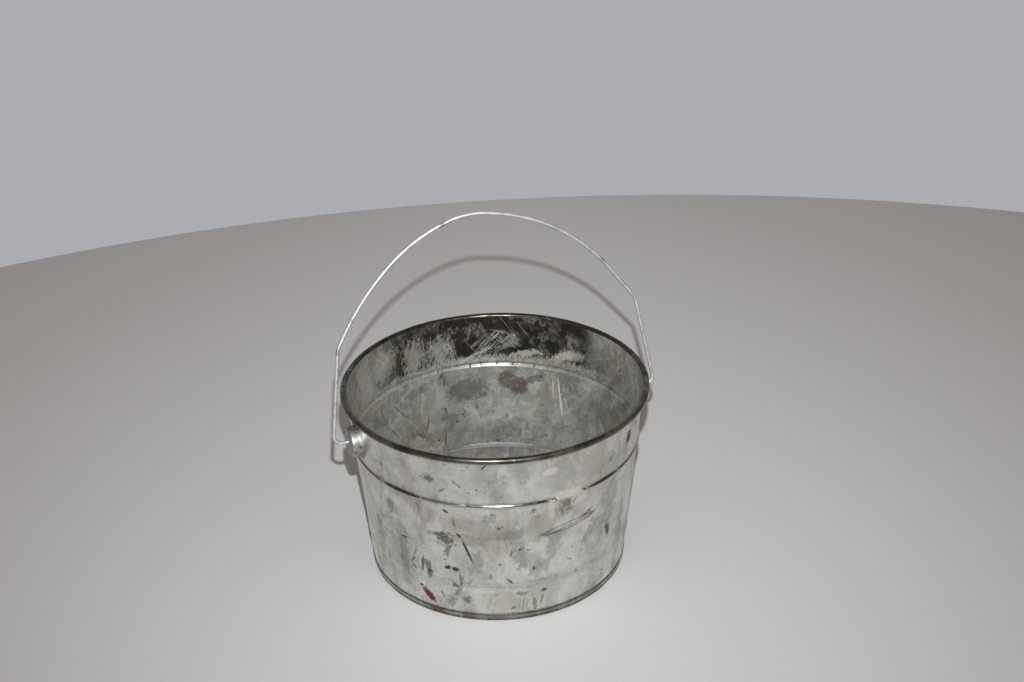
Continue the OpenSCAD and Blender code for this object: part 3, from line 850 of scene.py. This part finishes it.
@dataclass(frozen=True)
class BareMetal:
    """Bright metal with a fine grain and a little grime: drawn galvanised wire, or a stamped ear.

    To the eye it is a bright line or face with dark flanks, broken by dull clouds and small spots of grime.
    """

    name: str
    bright: str
    dull: str
    grime: str
    roughness: float
    grain: float
    cloud: float
    metallic: float

    def make(self) -> bpy.types.Material:
        """Makes the material.

        Returns:
            The material.
        """
        material = new_material(self.name)
        tree = material.node_tree
        here = add(tree, "TexCoord")["Object"]
        mm = add(tree, "VectorMath", {0: here, "Scale": 1 / MM}, operation="SCALE")[0]
        cloud = add(tree, "TexNoise", {"Vector": mm, "Scale": 1 / self.cloud, "Detail": 4.0,
                                       "Roughness": 0.6})[0]
        grain = add(tree, "TexNoise", {"Vector": mm, "Scale": 1 / self.grain, "Detail": 2.0})[0]
        spread = add(tree, "MapRange", {0: cloud, 1: 0.36, 2: 0.62}, interpolation_type=SMOOTH)[0]
        colour = add(tree, "ValToRGB", {0: spread}, ramp=((0.0, self.dull), (1.0, self.bright)))[0]
        rough = add(tree, "MapRange", {0: grain, 3: self.roughness - 0.08, 4: self.roughness + 0.14})[0]
        skin = Skin(tree, colour, rough, self.metallic)
        dirty = add(tree, "MapRange", {0: cloud, 1: 0.40, 2: 0.30}, interpolation_type=SMOOTH)[0]
        skin.lay(dirty, self.grime)
        bump = add(tree, "Bump", {"Height": grain, "Strength": 0.3, "Distance": 0.12 * MM})[0]
        shader = add(tree, "BsdfPrincipled", {"Base Color": skin.colour, "Metallic": skin.metal,
                                              "Roughness": skin.rough, "Normal": bump})[0]
        add(tree, "OutputMaterial", {"Surface": shader})
        return material


@dataclass(frozen=True)
class Dent:
    """A shallow round dent, or a bulge where its depth is above 0. Lengths in mm."""

    at: float  # angle round the pail, from +X towards +Y, in degrees
    up: float
    half_width: float
    half_height: float
    depth: float


DENTS = (
    Dent(-118, 70, 22, 26, -0.5), Dent(-82, 88, 16, 14, -0.45), Dent(-66, 42, 20, 22, 0.35),
    Dent(-150, 60, 18, 30, -0.5), Dent(60, 80, 26, 24, -0.6), Dent(110, 50, 24, 20, -0.4),
    Dent(20, 66, 20, 30, -0.5), Dent(-104, 118, 16, 9, -0.3),
)


@dataclass
class Pail:
    """The pail's wall, and the seam and ears that hold it to shape. Lengths in mm, angles in degrees."""

    rim_d: float = 230.0
    base_d: float = 196.6
    height: float = 147.0
    sheet: float = 0.35
    curl_d: float = 4.6
    curl_end: float = 30.0
    bottom_sheet: float = 0.4
    seat: float = 0.04
    # Height of the middle, width and reach outward.
    bead: tuple[float, float, float] = (103.8, 4.8, 1.2)
    ring: tuple[float, float, float] = (30.0, 5.0, 0.4)
    ear_up: float = 122.6
    ear_forward: float = 8.0
    ear_reach: float = 18.0
    out_of_round: float = 0.8
    lobe_at: float = 26.0
    # Height of the waves, how many go round, how fast they turn with height, and where they start.
    ripples: tuple[tuple[float, float, float, float], ...] = ((0.10, 7, 0.045, 1.0), (0.07, 13, -0.06, 0.0))
    # The seam holds the wall true up to seam_top, and lets go of it over the next seam_fade.
    seam_top: float = 5.5
    seam_fade: float = 12.0
    crease: float = 50.0
    steps_round: int = 400
    steps_up: int = 44
    steps_bead: int = 13
    steps_curl: int = 28
    # Rows of the curl that still show the inside's finish.
    inner_turn: int = 1

    def __post_init__(self) -> None:
        """Works out the cone and the curl from the sizes."""
        self.curl_r = (self.curl_d - self.sheet) / 2
        self.curl_middle = np.array([self.rim_d / 2 - self.curl_d / 2, self.height - self.curl_d / 2])
        self.foot_r = self.base_d / 2 - self.bottom_sheet - self.seat
        self.taper = (self.rim_d / 2 - self.curl_d + self.sheet - self.foot_r) / self.curl_middle[1]

    def section(self) -> tuple[np.ndarray, int]:
        """Works out the middle line of the sheet from the foot up the wall and round the curl.

        The wall's radius grows evenly with height, and each bead adds a squared cosine across its width. The
        curl is an arc that starts tangent to the wall and turns outward and down.

        Returns:
            The line as rows of radius and height, and the number of the first row of the curl.
        """
        foot = self.bottom_sheet + self.seat
        top = self.curl_middle[1] - 1.0
        heights = [np.linspace(foot, top, self.steps_up)]
        for middle, width, _ in (self.bead, self.ring):
            heights.append(np.linspace(middle - width / 2, middle + width / 2, self.steps_bead))
        z = np.unique(np.round(np.concatenate(heights), 3))
        r = self.foot_r - self.sheet / 2 + self.taper * z
        for middle, width, out in (self.bead, self.ring):
            inside = np.abs(z - middle) < width / 2
            r = r + np.where(inside, out * np.cos(np.pi * (z - middle) / width) ** 2, 0.0)
        start = 180 - math.degrees(math.atan(self.taper))
        turn = np.radians(np.linspace(start, -90 - self.curl_end, self.steps_curl))
        curl = self.curl_middle + self.curl_r * np.stack([np.cos(turn), np.sin(turn)], axis=1)
        return np.concatenate([np.stack([r, z], axis=1), curl]), len(z)

    def swell(self, angle: np.ndarray, z: np.ndarray) -> np.ndarray:
        """Works out how far the wall stands out of true, in mm.

        It is a two-lobed out-of-round that grows with height, two slow ripples, and the dents, faded out at
        the seamed foot and round both ears, which hold the wall to its true shape.

        Args:
            angle: angle round the pail, from +X towards +Y.
            z: height in mm.

        Returns:
            The distance outward.
        """
        out = self.out_of_round * np.cos(2 * (angle - math.radians(self.lobe_at))) * (z / self.height) ** 1.5
        for size, count, climb, start in self.ripples:
            out = out + size * np.sin(count * angle + climb * z + start)
        for dent in DENTS:
            arc = (np.mod(np.degrees(angle) - dent.at + 180, 360) - 180) * math.radians(1) * self.rim_d / 2
            far = (arc / dent.half_width) ** 2 + ((z - dent.up) / dent.half_height) ** 2
            out = out + dent.depth * np.exp(-far)
        for side in (0.0, math.pi):
            lean = -math.asin(2 * self.ear_forward / self.rim_d) * math.cos(side)
            arc = (np.mod(angle - side - lean + math.pi, 2 * math.pi) - math.pi) * self.rim_d / 2
            far = np.hypot(arc, z - self.ear_up) / self.ear_reach
            out = out * (1 - np.exp(-(far**4)))
        fade = np.clip((z - self.seam_top) / self.seam_fade, 0, 1)
        return out * fade * fade * (3 - 2 * fade)

    def wall(self) -> bpy.types.Object:
        """Builds the wall: the sheet's section, given its thickness, carried round the pail's axis.

        Returns:
            The wall as one closed surface.
        """
        line, first_curl = self.section()
        along = np.gradient(line, axis=0)
        along /= np.linalg.norm(along, axis=1, keepdims=True)
        normal = np.stack([along[:, 1], -along[:, 0]], axis=1) * self.sheet / 2
        loop = np.concatenate([line + normal, (line - normal)[::-1]])
        rows = np.concatenate([np.arange(len(line)), np.arange(len(line))[::-1]])
        angle = np.linspace(0, 2 * np.pi, self.steps_round, endpoint=False)[:, None]
        radius = loop[None, :, 0] + self.swell(angle, line[rows][None, :, 1])
        height = np.broadcast_to(loop[None, :, 1], radius.shape)
        points = np.stack([radius * np.cos(angle), radius * np.sin(angle), height], axis=2).reshape(-1, 3)
        count = loop.shape[0]
        i, j = np.meshgrid(np.arange(self.steps_round), np.arange(count), indexing="ij")
        here, right = i * count + j, ((i + 1) % self.steps_round) * count + j
        up, across = i * count + (j + 1) % count, ((i + 1) % self.steps_round) * count + (j + 1) % count
        faces = np.stack([here, right, across, up], axis=2).reshape(-1, 4)
        piece = new_piece("pail_wall", points * MM, faces.tolist())
        skins = np.full(count, Side.OUTSIDE.value)
        skins[len(line):] = Side.INSIDE.value
        skins[rows >= first_curl - 1] = Side.CURL.value
        skins[(rows < first_curl + self.inner_turn) & (np.arange(count) >= len(line))] = Side.INSIDE.value
        piece.data.polygons.foreach_set("material_index", np.tile(skins, self.steps_round).astype(np.int32))
        piece.data.set_sharp_from_angle(angle=math.radians(self.crease))
        piece.data.update()
        return piece


@dataclass
class Studio:
    """The floor, the backdrop, the room's light, the lamp and the camera. Lengths in metres."""

    floor_middle: tuple[float, float] = (-0.091, -0.723)
    floor_radius: float = 1.46
    floor_rings: int = 12
    floor_steps: int = 240
    floor_colour: str = "#CFD0D1"
    backdrop_colour: str = "#ABADB1"
    backdrop_radius: float = 2.9
    backdrop_half_turn: float = 48.0
    backdrop_steps: int = 40
    backdrop_foot: float = -2.0
    backdrop_top: float = 2.2
    lamp_place: tuple[float, float, float] = (-0.287, -0.858, 0.734)
    lamp_size: float = 0.014
    lamp_power: float = 3.8
    lamp_colour: str = "#FBFDFF"
    lamp_spread: float = 84.0
    lamp_aim: tuple[float, float, float] = (0.348, 0.826, 0.0)
    # The even fill, and the dim room that metal mirrors, above and at its foot.
    fill: float = 0.29
    fill_colour: str = "#FFF2E6"
    room: float = 0.03
    room_foot: float = 0.16
    eye: tuple[float, float, float] = (-0.3091, -0.8977, 0.6610)
    heading: tuple[float, float, float] = (0.30189, 0.83880, -0.45308)
    roll: float = -0.944
    lens: float = 50.96

    def floor(self) -> None:
        """Makes the round floor: rings of points from the middle to the edge."""
        turns = np.linspace(0, 2 * np.pi, self.floor_steps, endpoint=False)
        radii = np.linspace(0, self.floor_radius, self.floor_rings)[1:]
        ring = np.stack([np.cos(turns), np.sin(turns), np.zeros_like(turns)], axis=1)
        points = np.concatenate([[[0.0, 0.0, 0.0]], (radii[:, None, None] * ring).reshape(-1, 3)])
        points = points + np.array([*self.floor_middle, 0.0])
        n = len(turns)
        k, i = np.meshgrid(np.arange(len(radii) - 1), np.arange(n), indexing="ij")
        a, b = 1 + k * n + i, 1 + k * n + (i + 1) % n
        faces = np.stack([a, a + n, b + n, b], axis=2).reshape(-1, 4).tolist()
        first = np.arange(n)
        faces += np.stack([np.zeros(n, int), 1 + first, 1 + (first + 1) % n], axis=1).tolist()
        floor = new_piece("floor", points, faces, smooth=False)
        material = new_material("plain cloth")
        tree = material.node_tree
        shader = add(tree, "BsdfPrincipled", {"Base Color": self.floor_colour, "Roughness": 0.95,
                                              "Specular IOR Level": 0.1})[0]
        add(tree, "OutputMaterial", {"Surface": shader})
        floor.data.materials.append(material)

    def backdrop(self) -> None:
        """Makes the backdrop: an upright arc of wall behind the pail, square to the camera's heading."""
        centre = math.atan2(self.heading[1], self.heading[0])
        half = math.radians(self.backdrop_half_turn)
        turns = np.tile(np.linspace(centre - half, centre + half, self.backdrop_steps), 2)
        heights = np.repeat([self.backdrop_foot, self.backdrop_top], self.backdrop_steps)
        reach = self.backdrop_radius
        points = np.stack([np.cos(turns) * reach, np.sin(turns) * reach, heights], axis=1)
        i = np.arange(self.backdrop_steps - 1)
        faces = np.stack([i, i + self.backdrop_steps, i + 1 + self.backdrop_steps, i + 1], axis=1)
        wall = new_piece("backdrop", points, faces.tolist())
        material = new_material("painted wall")
        tree = material.node_tree
        path = add(tree, "LightPath")
        seen: Any = 0.0
        for ray in ("Is Camera Ray", "Is Glossy Ray", "Is Transmission Ray"):
            seen = add(tree, "Math", {0: seen, 1: path[ray]}, operation="MAXIMUM")[0]
        glow = add(tree, "Emission", {"Color": self.backdrop_colour, "Strength": 1.0})[0]
        matt = add(tree, "BsdfDiffuse", {"Color": self.backdrop_colour})[0]
        both = add(tree, "MixShader", {0: seen, 1: matt, 2: glow})[0]
        add(tree, "OutputMaterial", {"Surface": both})
        wall.data.materials.append(material)

    def world(self) -> None:
        """Makes the room's light: an even fill, which metal mirrors as a dark room, lighter at its foot."""
        world = bpy.data.worlds.new("room")
        bpy.context.scene.world = world
        world.use_nodes = True
        tree = world.node_tree
        tree.nodes.clear()
        path = add(tree, "LightPath")
        way = add(tree, "TexCoord")["Generated"]
        steep = add(tree, "SeparateXYZ", {0: way})["Z"]
        low = add(tree, "MapRange", {0: steep, 1: 0.35, 2: -0.05, 3: self.room, 4: self.room_foot})[0]
        level = add(tree, "Mix", {0: path["Is Glossy Ray"], 2: self.fill, 3: low})[0]
        plain = add(tree, "Background", {"Color": self.fill_colour, "Strength": level})[0]
        seen = add(tree, "Background", {"Color": self.backdrop_colour, "Strength": 1.0})[0]
        both = add(tree, "MixShader", {0: path["Is Camera Ray"], 1: plain, 2: seen})[0]
        add(tree, "OutputWorld", {"Surface": both})

    def lamp(self) -> None:
        """Hangs the lamp near the camera, aimed past the pail: small, so that the bail's shadow is clear."""
        light = bpy.data.lights.new("key", "AREA")
        light.shape = "DISK"
        light.size = self.lamp_size
        light.energy = self.lamp_power
        light.spread = math.radians(self.lamp_spread)
        light.color = linear(self.lamp_colour)[:3]
        lamp = bpy.data.objects.new("key", light)
        lamp.location = self.lamp_place
        lamp.rotation_euler = (Vector(self.lamp_aim) - lamp.location).to_track_quat("-Z", "Y").to_euler()
        bpy.context.scene.collection.objects.link(lamp)

    def camera(self) -> None:
        """Places the camera: its heading, then its small roll about that heading."""
        data = bpy.data.cameras.new("camera")
        data.sensor_width = 36.0
        data.lens = self.lens
        camera = bpy.data.objects.new("camera", data)
        level = Vector(self.heading).to_track_quat("-Z", "Y")
        camera.rotation_mode = "QUATERNION"
        camera.rotation_quaternion = level @ Quaternion((0, 0, 1), math.radians(self.roll))
        camera.location = self.eye
        bpy.context.scene.collection.objects.link(camera)
        bpy.context.scene.camera = camera

    def build(self) -> None:
        """Makes the whole studio."""
        self.camera()
        self.floor()
        self.backdrop()
        self.world()
        self.lamp()
        bpy.context.scene.view_settings.view_transform = "Standard"


def dress(node: str, material: bpy.types.Material) -> None:
    """Gives a frame node its finish.

    Args:
        node: the node's name.
        material: the finish.
    """
    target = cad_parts[node]
    target.data.materials.clear()
    target.data.materials.append(material)


def main() -> None:
    """Builds the studio, then the pail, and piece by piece."""
    logging.basicConfig(level=logging.INFO, format="%(name)s: %(message)s")
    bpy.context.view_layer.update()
    Studio().build()
    stamp = Stamp()
    pail = Pail()
    bead, bead_half = pail.bead[0], pail.bead[1] / 2
    ring, ring_half = pail.ring[0], pail.ring[1] / 2
    outside = TinnedSheet(
        "tinned sheet, rolled, outside", Side.OUTSIDE, "#9A9890", "#C9C8C2", "#E8E7E3", 0.30, 0.46,
        OUTSIDE_MARKS, grit=0.60, speck_gap=5.2, tint_share=0.75,
        tints=("#99978D", "#CBC9BC", "#ACACA8", "#EDECE8", "#BAB8AD", "#D9D8D3"),
        layers=((18.0, 0.45, 1.0), (9.0, 0.28, 0.40)),
        crests=(PolishAndHighlight(bead, bead_half, 0.15, 1.0, 0.8), PolishAndHighlight(ring, ring_half, 0.24, 1.0, 0.6)),
        # The line at 34 mm is painted shade above the foot ring; the line at 106.8 mm darkens the crook above
        # the bead.
        grime=((6.0, 1.2, 0.55), (34.0, 2.2, 0.22), (106.8, 0.9, 0.3)))
    inside = TinnedSheet(
        "tinned sheet, rolled, inside", Side.INSIDE, "#75736C", "#A2A19A", "#C4C3BE", 0.38, 0.58,
        INSIDE_MARKS, patch=22.0, mottle=6.0, speck_gap=5.5, metal_dull=0.28, metal_clean=0.5,
        tint_share=0.95,
        tints=("#756E66", "#979A95", "#ACABA2", "#74736C", "#C6C5C0", "#989181", "#868B8E"),
        layers=((18.0, 0.12, 1.0), (9.0, 0.05, 0.75), (4.6, 0.03, 0.6)),
        crests=(PolishAndHighlight(bead, bead_half, 0.27, 0.55, 0.2), PolishAndHighlight(ring, ring_half, 0.26, 0.60, 0.5)),
        grime=((bead - 3.2, 1.2, 0.3), (bead, 2.6, 0.45)), band=DarkReflectionBand())
    # The curl is the same tinned sheet, painted much darker as the room's dark reflection, with ochre stains
    # on it.
    curl = TinnedSheet(
        "tinned sheet, curled, darkened as painted reflection", Side.CURL, "#302B25", "#4F4B43", "#7A766D", 0.30, 0.40,
        CURL_MARKS, patch=18.0, mottle=5.0)
    seam = TinnedSheet(
        "tinned sheet, seamed", Side.BOTTOM, "#5F5B55", "#8A8780", "#AFADA7", 0.20, 0.40,
        SEAM_MARKS, patch=20.0, mottle=6.0, tints=("#7C7770", "#8E908C", "#A3A29B", "#77756F"),
        grime=((5.2, 1.5, 0.95), (1.0, 1.7, 0.95)))
    wall = pail.wall()
    for sheet in (outside, inside, curl):
        wall.data.materials.append(sheet.make(stamp))
    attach(wall, "pail")
    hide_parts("wall")
    LOG.info("wall: %d faces", len(wall.data.polygons))
    dress("bottom", seam.make(stamp))
    stamped = BareMetal("stamped steel, bright", "#B4B3AF", "#8E8C88", "#68635C", 0.48, 0.7, 4.0, 0.95).make()
    drawn = BareMetal("galvanised wire, drawn", "#D3D2D0", "#B5B4B1", "#86837E", 0.52, 0.5, 7.0, 0.7).make()
    for ear in ("ear_left", "ear_right"):
        dress(ear, stamped)
    dress("bail", drawn)


if __name__ == "__main__":
    main()
